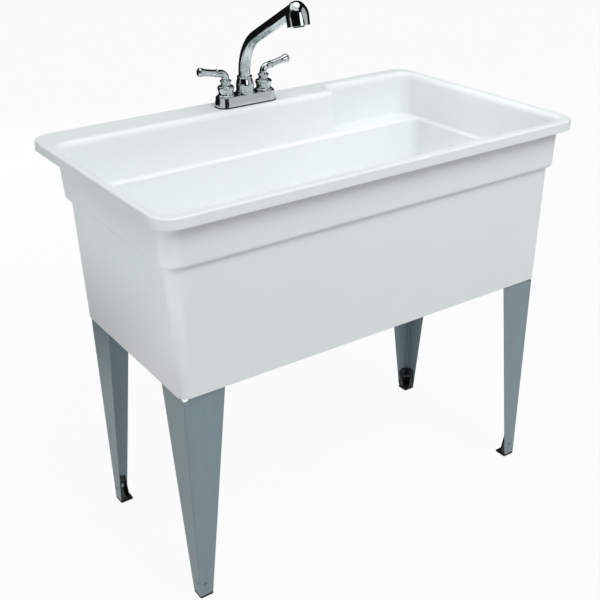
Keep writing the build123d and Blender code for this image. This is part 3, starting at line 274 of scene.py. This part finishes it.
# ---- tap gasket, seals, stopper ---------------------------------------------------------------
# Black rubber: the sheet gasket under the tap, the rings on the post, the ring under the waste
# flange and the stopper. Dull, with a fine pitted skin and a grey bloom.
rubber = Finish("black_rubber")
rubber_black = (0.014, 0.014, 0.015, 1)
rubber_grey = (0.034, 0.034, 0.034, 1)
rubber_pits = rubber.noise(1100.0, detail=3.0, roughness=0.6)
rubber_bloom = rubber.noise(90.0, detail=3.0)
rubber.set(
    Base_Color=rubber.mix(rubber_bloom, rubber_black, rubber_grey),
    Roughness=0.55 + rubber_pits * 0.2,
    Normal=rubber.bump(rubber_pits, strength=0.35, distance=0.0002),
)
dress(rubber, "tap_gasket", "spout_o_rings", "waste_gasket", "waste_stopper")

# ---- tap waterway, cartridges and stems --------------------------------------------------------
# The brass body inside the cover, with two threaded shanks and the spout post, and the valve
# cartridges with their stems: raw metal with brown stains. The threads of the two shanks and of
# the gland between them are cut with a die.
brass = Finish("raw_brass")
brass_yellow = (0.56, 0.40, 0.19, 1)
brass_brown = (0.36, 0.24, 0.11, 1)
brass_stain = brass.noise(60.0, detail=4.0, roughness=0.6)
brass_grain = brass.noise(800.0, detail=3.0, roughness=0.6)
brass.set(
    Base_Color=brass.mix(brass_stain.step(0.35, 0.7), brass_yellow, brass_brown),
    Metallic=1.0,
    Roughness=0.26 + brass_stain * 0.22,
    Normal=brass.bump(brass_grain, strength=0.15, distance=0.0008),
)
dress(brass, "tap_waterway", "hot_cartridge", "cold_cartridge", "hot_stem", "cold_stem")


def around(steps):
    """Angles at even steps once round; the last one stops a step before the first."""
    return np.linspace(0, 2 * np.pi, steps, endpoint=False)


def closed_piece(name, grids, finish, body, caps=False):
    """One object from closed shells. grids[k, i, j] is place i along shell k at turn j round it.
    Turns close on themselves; the rows do too, or else end in flat caps."""
    count, rows, turns = grids.shape[:3]
    bands = rows - 1 if caps else rows
    places = np.arange(count), np.arange(bands), np.arange(turns)
    shell, row, turn = np.meshgrid(*places, indexing="ij")
    here, above = shell * rows + row, shell * rows + (row + 1) % rows
    across = (turn + 1) % turns
    faces = np.stack([here * turns + turn, here * turns + across,
                      above * turns + across, above * turns + turn], -1).reshape(-1, 4).tolist()
    if caps:
        edge = np.arange(turns)
        first = np.arange(count)[:, None] * rows * turns
        last = first + (rows - 1) * turns
        faces += (first + edge[::-1]).tolist() + (last + edge).tolist()
    mesh = bpy.data.meshes.new(name)
    mesh.from_pydata(grids.reshape(-1, 3).tolist(), [], faces)
    work = bmesh.new()
    work.from_mesh(mesh)
    bmesh.ops.recalc_face_normals(work, faces=work.faces)
    work.to_mesh(mesh)
    work.free()
    mesh.polygons.foreach_set("use_smooth", np.ones(len(mesh.polygons), bool))
    mesh.materials.append(finish.material)
    piece = bpy.data.objects.new(name, mesh)
    scene.collection.objects.link(piece)
    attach(piece, body)
    return piece


def middle(node):
    """The middle of a CAD node's box."""
    low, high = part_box(node)
    return (low + high) / 2


thread_facets = 56
rows_a_pitch = 6
thread_backing = 0.0005


def thread(name, axis_node, core, crest, pitch, low, high, finish):
    """Screw thread round the upright axis of a node. Its radius at height z and turn a is the
    core's, plus the thread's depth times a triangle wave of z / pitch - a / (2 pi), which fades
    out over one pitch at each end. The shell closes on a plain wall inside the shank."""
    rows = np.arange(low, high, pitch / rows_a_pitch)
    height, angle = np.meshgrid(rows, around(thread_facets), indexing="ij")
    wave = 2 * np.abs((height / pitch - angle / (2 * np.pi)) % 1 - 0.5)
    fade = np.clip(np.minimum(height - low, high - height) / pitch, 0, 1)
    outer = core + (crest - core) * wave * fade
    radius = np.concatenate([outer, np.full_like(outer, core - thread_backing)])
    height = np.concatenate([height, height[::-1]])
    angle = np.concatenate([angle, angle])
    x, y = middle(axis_node)[:2]
    grid = np.stack([x + radius * np.cos(angle), y + radius * np.sin(angle), height], -1)
    closed_piece(name, grid[None], finish, "stand")


thread_gap = 0.0003
shank_core = 0.01040
shank_crest = 0.01085
shank_pitch = 0.0018
shank_runout = 0.003
shank_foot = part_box("tap_waterway")[0][2] + thread_gap
nut_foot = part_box("mounting_nuts")[0][2]
for side in ("hot", "cold"):
    thread(side + "_shank_thread", side + "_cartridge", shank_core, shank_crest, shank_pitch,
           shank_foot, nut_foot - shank_runout, brass)
gland_core = 0.01195
gland_crest = 0.01245
gland_pitch = 0.0015
gland_shorter = 0.0103
gland_past_nut_foot = 0.011
gland_foot = shank_foot + gland_shorter
gland_top = nut_foot + gland_past_nut_foot
thread("gland_thread", "spout_hub", gland_core, gland_crest, gland_pitch,
       gland_foot, gland_top, brass)

# ---- mounting washers and nuts, hose guide, plastic of the waste -------------------------------
# White moulded plastic of the small plumbing pieces, waxy, with a grain and light grey smudges
# left by wet hands.
plumbing = Finish("white_plumbing_plastic")
plastic_white = (0.72, 0.72, 0.69, 1)
smudge_grey = (0.60, 0.60, 0.57, 1)
plumbing_smudge = plumbing.noise(70.0, detail=3.0, roughness=0.55).step(0.45, 0.8)
plumbing_grain = plumbing.noise(1200.0)
plumbing.set(
    Base_Color=plumbing.mix(plumbing_smudge, plastic_white, smudge_grey),
    Roughness=0.38 + plumbing_grain * 0.12,
    Normal=plumbing.bump(plumbing_grain, strength=0.2, distance=0.0002),
)
dress(plumbing, "mounting_washers", "mounting_nuts", "hose_guide", "waste_washer",
      "waste_locknut", "waste_tailpiece", "tailpiece_nut")

# ---- waste body and set screws -----------------------------------------------------------------
# Stainless steel: turned and brushed, with fine rings round the waste. Below the locknut the
# waste carries a coarse rolled thread for the slip nut.
steel = Finish("brushed_stainless")
steel_dark = (0.55, 0.55, 0.55, 1)
steel_bright = (0.62, 0.62, 0.61, 1)
steel_rings = steel.noise(1.0, detail=3.0, roughness=0.6,
                          place=steel.stretched((400.0, 400.0, 2600.0)))
steel_smear = steel.noise(50.0, detail=3.0)
steel.set(
    Base_Color=steel.mix(steel_smear, steel_dark, steel_bright),
    Metallic=1.0,
    Roughness=0.22 + steel_rings * 0.2,
    Normal=steel.bump(steel_rings, strength=0.08, distance=0.0008),
)
dress(steel, "waste_body", "hot_handle_screw", "cold_handle_screw")
waste_core = 0.02335
waste_crest = 0.02390
waste_pitch = 0.0022
waste_thread_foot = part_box("tailpiece_nut")[1][2] + thread_gap
waste_thread_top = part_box("waste_locknut")[0][2] - thread_gap
thread("waste_thread", "waste_body", waste_core, waste_crest, waste_pitch,
       waste_thread_foot, waste_thread_top, steel)

# ---- spray nozzle ------------------------------------------------------------------------------
# The dark plastic face of the spray. A soft rubber nub stands in each of its sixteen holes so
# that scale can be rubbed off, and a fine wire screen closes the aerator boss in the middle.
nozzle = Finish("nozzle_plastic")
nozzle_black = (0.030, 0.031, 0.034, 1)
scale_white = (0.30, 0.30, 0.29, 1)
nozzle_grain = nozzle.noise(1500.0)
nozzle_scale = nozzle.noise(240.0, detail=3.0, roughness=0.6).step(0.6, 0.8)
nozzle.set(
    Base_Color=nozzle.mix(nozzle_scale * 0.5, nozzle_black, scale_white),
    Roughness=0.34 + nozzle_grain * 0.15,
    Normal=nozzle.bump(nozzle_grain, strength=0.25, distance=0.0002),
)
dress(nozzle, "spray_nozzle")

joint_axes = {joint["name"]: np.array(joint["axis"], float)
              for joint in frame["record"]["behaviour"]["joints"]}
right = np.array([1.0, 0.0, 0.0])
spray_out = -joint_axes["button_press"]
spray_up = np.cross(right, -spray_out)
face_radius = 0.0213
boss_radius = 0.0119
boss_depth = 0.0033
nozzle_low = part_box("spray_nozzle")[0]
face_y = nozzle_low[1] + face_radius * spray_up[2]
face_z = nozzle_low[2] + boss_radius * spray_up[1] + boss_depth * spray_up[2]
face_centre = np.array([0.0, face_y, face_z])


def on_spray(radius, angle, drop):
    """A place on the spray's face from its polar place and its drop below the face: the centre,
    plus radius times (cos a to the right, sin a outwards), minus the drop along the spray."""
    flat = np.cos(angle)[..., None] * right + np.sin(angle)[..., None] * spray_out
    return face_centre + radius[..., None] * flat - drop[..., None] * spray_up


# A nub is its outline of (radius, drop) pairs turned once round, and stands on each hole.
millimetre = 0.001
hole_ring = 0.0165
hole_count = 16
nub_facets = 16
nub_outline = np.array([(1.15, -0.4), (1.10, 0.2), (0.95, 0.6), (0.75, 0.75),
                        (0.50, 0.75), (0.35, 0.55), (0.35, -0.4)]) * millimetre
hole_centres = on_spray(np.full(hole_count, hole_ring), around(hole_count), np.zeros(hole_count))
nub_polar = np.broadcast_arrays(nub_outline[:, :1], around(nub_facets)[None], nub_outline[:, 1:])
nub = on_spray(*nub_polar) - face_centre
closed_piece("nozzle_nubs", hole_centres[:, None, None] + nub[None], rubber, "spray")

# The screen is a disc. At (x, y) on it the wires stand out by their relief times the larger of
# cos(pi x / spacing) ** 2 and cos(pi y / spacing) ** 2.
screen_centre = 0.0002
screen_radius = 0.00585
screen_sink = 0.0016
screen_back = 0.0012
screen_rings = 48
screen_spokes = 96
wire_spacing = 0.0011
wire_relief = 0.0004
radius, angle = np.meshgrid(np.linspace(screen_centre, screen_radius, screen_rings),
                            around(screen_spokes), indexing="ij")
wires_across = np.cos(np.pi * radius * np.cos(angle) / wire_spacing) ** 2
wires_along = np.cos(np.pi * radius * np.sin(angle) / wire_spacing) ** 2
screen_drop = boss_depth - screen_sink + wire_relief * np.maximum(wires_across, wires_along)
screen_front = on_spray(radius, angle, screen_drop)
screen_rear = on_spray(radius, angle, np.full_like(screen_drop, screen_back))
screen = np.concatenate([screen_front, screen_rear[::-1]])
closed_piece("aerator_screen", screen[None], steel, "spray")

# ---- grip on the spray button ------------------------------------------------------------------
# Five low bars moulded across the chromed button, so that a wet thumb doesn't slip. They are
# chromed with it, and each is a lens that thins out to its two ends.
button_rise = 0.0212
button_front = 0.0260
bar_count = 5
bar_spacing = 0.0032
bar_half_length = 0.0031
bar_half_width = 0.00050
bar_half_height = 0.00035
bar_end_angle = 82
bar_rows = 13
bar_facets = 12
button_centre = face_centre + button_rise * spray_up + button_front * spray_out
# At the angle w a bar's place along is the half length times sin w, and its half width and half
# height are those of its middle times the root of cos w.
bar_angles = np.radians(np.linspace(-bar_end_angle, bar_end_angle, bar_rows))
way, angle = np.meshgrid(bar_angles, around(bar_facets), indexing="ij")
thick = np.sqrt(np.cos(way))
bar = ((bar_half_length * np.sin(way))[..., None] * right
       + (bar_half_width * thick * np.cos(angle))[..., None] * spray_up
       + (bar_half_height * thick * np.sin(angle))[..., None] * spray_out)
bar_climb = bar_spacing * (np.arange(bar_count) - (bar_count - 1) / 2)
bar_centres = button_centre + bar_climb[:, None] * spray_up
bars = bar_centres[:, None, None] + bar[None]
closed_piece("button_grip", bars, chrome, "button", caps=True)

# ---- button spring -----------------------------------------------------------------------------
# A coil of hard steel wire between the nozzle's post and the button, which pushes the button back
# out.
spring_radius = 0.0026
spring_wire = 0.00035
spring_turns = 6
button_travel = 0.0012
steps_a_turn = 36
wire_facets = 10
spring_low, spring_high = np.array(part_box("button_spring"))
spring_lean = 2 * (spring_radius + spring_wire) * abs(spray_up[1])
spring_length = (spring_high[1] - spring_low[1] - spring_lean) / abs(spray_out[1])
spring_foot = (spring_low + spring_high) / 2 - spray_out * spring_length / 2


def coil(way, angle):
    """Helix of the wire: from the foot, along the spring by its way, and round it at the spring's
    radius by 2 pi times the turns wound so far; the wire's own circle lies across the helix."""
    wound = 2 * np.pi * spring_turns * way
    outwards = np.cos(wound)[..., None] * right + np.sin(wound)[..., None] * spray_up
    climb = (spring_length - 2 * spring_wire) * spray_out
    sideways = -np.sin(wound)[..., None] * right + np.cos(wound)[..., None] * spray_up
    forwards = climb + 2 * np.pi * spring_turns * spring_radius * sideways
    forwards = forwards / np.linalg.norm(forwards, axis=-1, keepdims=True)
    across = np.cross(forwards, outwards)
    core = spring_foot + spring_wire * spray_out + way[..., None] * climb + spring_radius * outwards
    circle = np.cos(angle)[..., None] * outwards + np.sin(angle)[..., None] * across
    return core + spring_wire * circle


way, angle = np.meshgrid(np.linspace(0, 1, steps_a_turn * spring_turns), around(wire_facets),
                         indexing="ij")
spring = closed_piece("button_coil", coil(way, angle)[None], steel, "spray", caps=True)
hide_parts("button_spring")
1 - button_travel / spring_length
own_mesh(spring)

# ---- spray hose --------------------------------------------------------------------------------
# The pull-out hose inside the spout arm: nylon braid, two families of strands crossing in a
# spiral round the hose, and a crimped ferrule where it joins the spray.
hose = Finish("hose_braid")
painted_hollow_shade_black = (0.010, 0.010, 0.011, 1)
strand_grey = (0.20, 0.20, 0.21, 1)
# The strands are grey and darken with the braid's height down to black in the hollows between them:
# that darkening is painted shade of the weave.
braid_shade = hose.node("ShaderNodeAttribute", {"attribute_name": "braid"}, {}, "Fac")
hose_fibre = hose.noise(2400.0, roughness=0.6)
hose.set(
    Base_Color=hose.mix(braid_shade, painted_hollow_shade_black, strand_grey),
    Roughness=0.42 + hose_fibre * 0.16,
    Normal=hose.bump(hose_fibre, strength=0.3, distance=0.0002),
)

# One closed shell runs up the bore from the spray, back down the braid and over the ferrule. The
# braid stands at the larger of cos(n a / 2 + pi w / pitch) ** 2 and cos(n a / 2 - pi w / pitch) ** 2
# at the turn a and the way w, with n strands, and sinks by its depth between them. Rings are
# pressed into the ferrule where the cosine of its way over their spacing is above a half.
hose_radius = 0.0060
hose_length = 0.1000
hose_facets = 96
bore_radius = 0.0040
bore_rows = 12
ferrule_radius = 0.0085
ferrule_length = 0.0140
ferrule_rows = 57
ferrule_shade = 0.9
crimp_depth = 0.0005
crimp_spacing = 0.0045
crimp_slope = 3.0
strands = 12
braid_pitch = 0.0065
braid_depth = 0.0004
braid_row = 0.00035
arm_way = joint_axes["spray_pull"]
arm_up = np.cross(arm_way, right)
hose_low, hose_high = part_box("spray_hose")
ferrule_y = hose_low[1] + ferrule_radius * arm_way[2]
ferrule_z = hose_high[2] + ferrule_radius * arm_way[1]
ferrule_end = np.array([0.0, ferrule_y, ferrule_z])
bore_ways = np.linspace(0, hose_length, bore_rows)
braid_ways = np.arange(hose_length, ferrule_length, -braid_row)
ferrule_ways = np.linspace(0, ferrule_length, ferrule_rows)[::-1]
crimp_wave = np.cos(2 * np.pi * ferrule_ways / crimp_spacing)
crimps = crimp_depth * np.clip(crimp_slope * (crimp_wave - 0.5), 0, 1)
hose_ways = np.concatenate([bore_ways, braid_ways, ferrule_ways])
plain_radii = np.concatenate([np.full_like(bore_ways, bore_radius),
                              np.full_like(braid_ways, hose_radius), ferrule_radius - crimps])
braided = np.concatenate([np.zeros_like(bore_ways), np.ones_like(braid_ways),
                          np.zeros_like(ferrule_ways)])[:, None]
way, angle = np.meshgrid(hose_ways, around(hose_facets), indexing="ij")
one_family = np.cos(strands * angle / 2 + np.pi * way / braid_pitch) ** 2
other_family = np.cos(strands * angle / 2 - np.pi * way / braid_pitch) ** 2
braid = np.maximum(one_family, other_family)
radius = plain_radii[:, None] - braid_depth * braided * (1 - braid)
hose_grid = (ferrule_end - way[..., None] * arm_way + (radius * np.cos(angle))[..., None] * right
             + (radius * np.sin(angle))[..., None] * arm_up)
hose_piece = closed_piece("braided_hose", hose_grid[None], hose, "spray")
# Each point keeps the braid's height, which gives the painted shade between the strands; the bore
# and the ferrule keep one flat tone.
shades = hose_piece.data.attributes.new("braid", "FLOAT", "POINT")
shades.data.foreach_set("value", np.where(braided > 0, braid, ferrule_shade).ravel())
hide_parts("spray_hose")

# ---- floor, light and camera -------------------------------------------------------------------
# A paper floor and a soft sky, both nearly white to the camera, with broad lamps in front and
# behind, a strip at the left and two small lamps over the bowl. Dark and pale cards that only
# polished metal sees stand round the tap, as a photographer stands them for chrome.
white = (1, 1, 1, 1)
paper_grey = (0.56, 0.56, 0.56, 1)
paper_share_seen_white = 0.94
floor_reach = 12.0
floor_corners = [(-floor_reach, -floor_reach, 0), (floor_reach, -floor_reach, 0),
                 (floor_reach, floor_reach, 0), (-floor_reach, floor_reach, 0)]
floor_mesh = bpy.data.meshes.new("studio_floor")
floor_mesh.from_pydata(floor_corners, [], [(0, 1, 2, 3)])
floor = bpy.data.objects.new("studio_floor", floor_mesh)
scene.collection.objects.link(floor)
paper = Finish("studio_paper")
paper.set(Base_Color=paper_grey, Roughness=0.9, Specular_IOR_Level=0.0)
paper_white = paper.node("ShaderNodeEmission", {}, {"Color": white, "Strength": 1.0})
paper_mix = paper.node("ShaderNodeMixShader", {}, {
    0: paper.looked_at() * paper_share_seen_white,
    1: Value(paper, paper.skin.outputs[0]), 2: paper_white,
})
paper.fill(paper.output.inputs[0], paper_mix)
floor_mesh.materials.append(paper.material)

sky_colour = (0.975, 0.99, 0.995, 1)
sky_low_light = 0.10
sky_climb = 0.95
sky_seen_light = 0.97
world = bpy.data.worlds.new("studio_sky")
scene.world = world
world.use_nodes = True
sky = Shading(world.node_tree)
sky_way = sky.node("ShaderNodeTexCoord", {}, {}, "Generated")
sky_height = sky.node("ShaderNodeSeparateXYZ", {}, {"Vector": sky_way}, "Z").math("MAXIMUM", 0.0)
sky_strength = sky_low_light + sky_height * sky_climb
sky_light = sky.node("ShaderNodeBackground", {}, {"Color": sky_colour, "Strength": sky_strength})
sky_seen = sky.node("ShaderNodeBackground", {}, {"Color": white, "Strength": sky_seen_light})
sky_mix = sky.node("ShaderNodeMixShader", {}, {0: sky.looked_at(), 1: sky_light, 2: sky_seen})
sky_output = sky.tree.nodes.new("ShaderNodeOutputWorld")
sky.fill(sky_output.inputs[0], sky_mix)


def lamp(name, place, aim, width, depth, power, spread=180.0, tint=(1.0, 1.0, 1.0)):
    """A rectangular soft lamp at a place, turned to face the point it aims at."""
    light = bpy.data.lights.new(name, "AREA")
    light.shape = "RECTANGLE"
    light.size = width
    light.size_y = depth
    light.energy = power
    light.color = tint
    light.spread = math.radians(spread)
    holder = bpy.data.objects.new(name, light)
    scene.collection.objects.link(holder)
    way = np.array(aim, float) - np.array(place, float)
    flat = math.hypot(way[0], way[1])
    holder.location = place
    holder.rotation_euler = (math.atan2(flat, -way[2]), 0.0, math.atan2(-way[0], way[1]))
    holder.visible_glossy = False
    holder.visible_camera = False


cool_white = (0.94, 0.99, 1.0)
sea_white = (0.91, 1.0, 0.985)
lamp("front_softbox", place=(0.4, -2.8, 3.9), aim=(0.0, 0.0, 0.8),
     width=2.0, depth=2.0, power=75, tint=cool_white)
lamp("back_softbox", place=(0.3, 3.4, 1.2), aim=(0.0, 0.0, 0.7),
     width=2.0, depth=1.2, power=30, tint=cool_white)
lamp("left_strip", place=(-2.3, 0.0, 0.80), aim=(0.0, 0.0, 0.74),
     width=1.5, depth=0.30, power=0.52, spread=16.0, tint=sea_white)
lamp("bowl_lamp", place=(-0.05, -0.75, 1.75), aim=(-0.02, 0.10, 0.66),
     width=0.80, depth=0.10, power=0.12, spread=24.0)
lamp("bowl_side_lamp", place=(-0.62, -0.10, 1.55), aim=(0.42, 0.02, 0.80),
     width=0.30, depth=0.12, power=0.20, spread=40.0)

tap_place = middle("spout_hub")[:2]
card_columns = 33


def card(name, start, end, glow, *profile):
    """A card bent round the tap between two bearings from +X in degrees, along a profile of
    (distance, height) pairs: each point is the tap's place plus distance times (cos, sin)."""
    bearing = np.radians(np.linspace(start, end, card_columns))
    ways = np.stack([np.cos(bearing), np.sin(bearing)], 1)
    rows = [np.c_[distance * ways + tap_place, np.full(card_columns, level)]
            for distance, level in profile]
    first = np.arange(card_columns - 1)
    above = first + card_columns
    strip = np.stack([first, first + 1, above + 1, above], 1)
    faces = np.concatenate([strip + card_columns * step for step in range(len(profile) - 1)])
    mesh = bpy.data.meshes.new(name)
    mesh.from_pydata(np.concatenate(rows).tolist(), [], faces.tolist())
    holder = bpy.data.objects.new(name, mesh)
    scene.collection.objects.link(holder)
    holder.visible_camera = False
    holder.visible_diffuse = False
    holder.visible_transmission = False
    holder.visible_shadow = False
    shade = Finish(name)
    light = shade.node("ShaderNodeEmission", {}, {"Color": white, "Strength": glow})
    shade.fill(shade.output.inputs[0], light)
    mesh.materials.append(shade.material)


# Most cards stand on a ring round the tap. The two at the back run on over the floor towards it,
# a pale one stands nearer and two lie overhead. Each row gives bearings, glow and profile.
ring = 3.4
ground = 0.02
ceiling = 7.2
ceiling_middle = 0.001
ceiling_edge = 2.9
floor_edge = 0.9
near_ring = 1.2
cards = {
    "card_back": (59, 95, 0.008, (floor_edge, ground), (ring, ground), (ring, 6.1)),
    "card_back_left": (95, 150, 0.008, (floor_edge, ground), (ring, ground), (ring, 3.4)),
    "card_left": (150, 172, 0.10, (ring, ground), (ring, 3.4)),
    "card_pale_left": (168, 236, 0.66, (near_ring, 0.87), (near_ring, 1.0)),
    "card_behind_camera": (172, 260, 0.004, (ring, ground), (ring, 4.4)),
    "card_low": (260, 296, 0.004, (ring, ground), (ring, 1.05)),
    "strip_front": (260, 284, 1.6, (ring, 1.05), (ring, 3.1)),
    "card_right": (284, 296, 0.006, (ring, 1.05), (ring, 4.4)),
    "strip_right": (296, 341, 0.62, (ring, ground), (ring, 4.4)),
    "card_right_high": (284, 341, 0.006, (ring, 4.4), (ring, ceiling)),
    "card_front_high": (260, 284, 0.006, (ring, 3.1), (ring, ceiling)),
    "card_far_right": (341, 419, 0.004, (ring, ground), (ring, ceiling)),
    "overhead": (0, 360, 1.6, (ceiling_middle, ceiling), (ceiling_edge, ceiling)),
    "overhead_edge": (172, 419, 0.006, (ceiling_edge, ceiling), (ring, ceiling)),
}
for name, facts in cards.items():
    card(name, *facts)

# The camera's place, turn and lens are the ones solved from the photograph.
camera_data = bpy.data.cameras.new("photo_camera")
camera_data.lens = 59.23
camera_data.sensor_width = 36.0
camera_data.clip_start = 0.05
camera = bpy.data.objects.new("photo_camera", camera_data)
scene.collection.objects.link(camera)
camera.location = (-1.15876, -1.70189, 1.49302)
camera.rotation_euler = (1.1112, 0.0174, -0.5956)
scene.camera = camera
scene.view_settings.view_transform = "Standard"
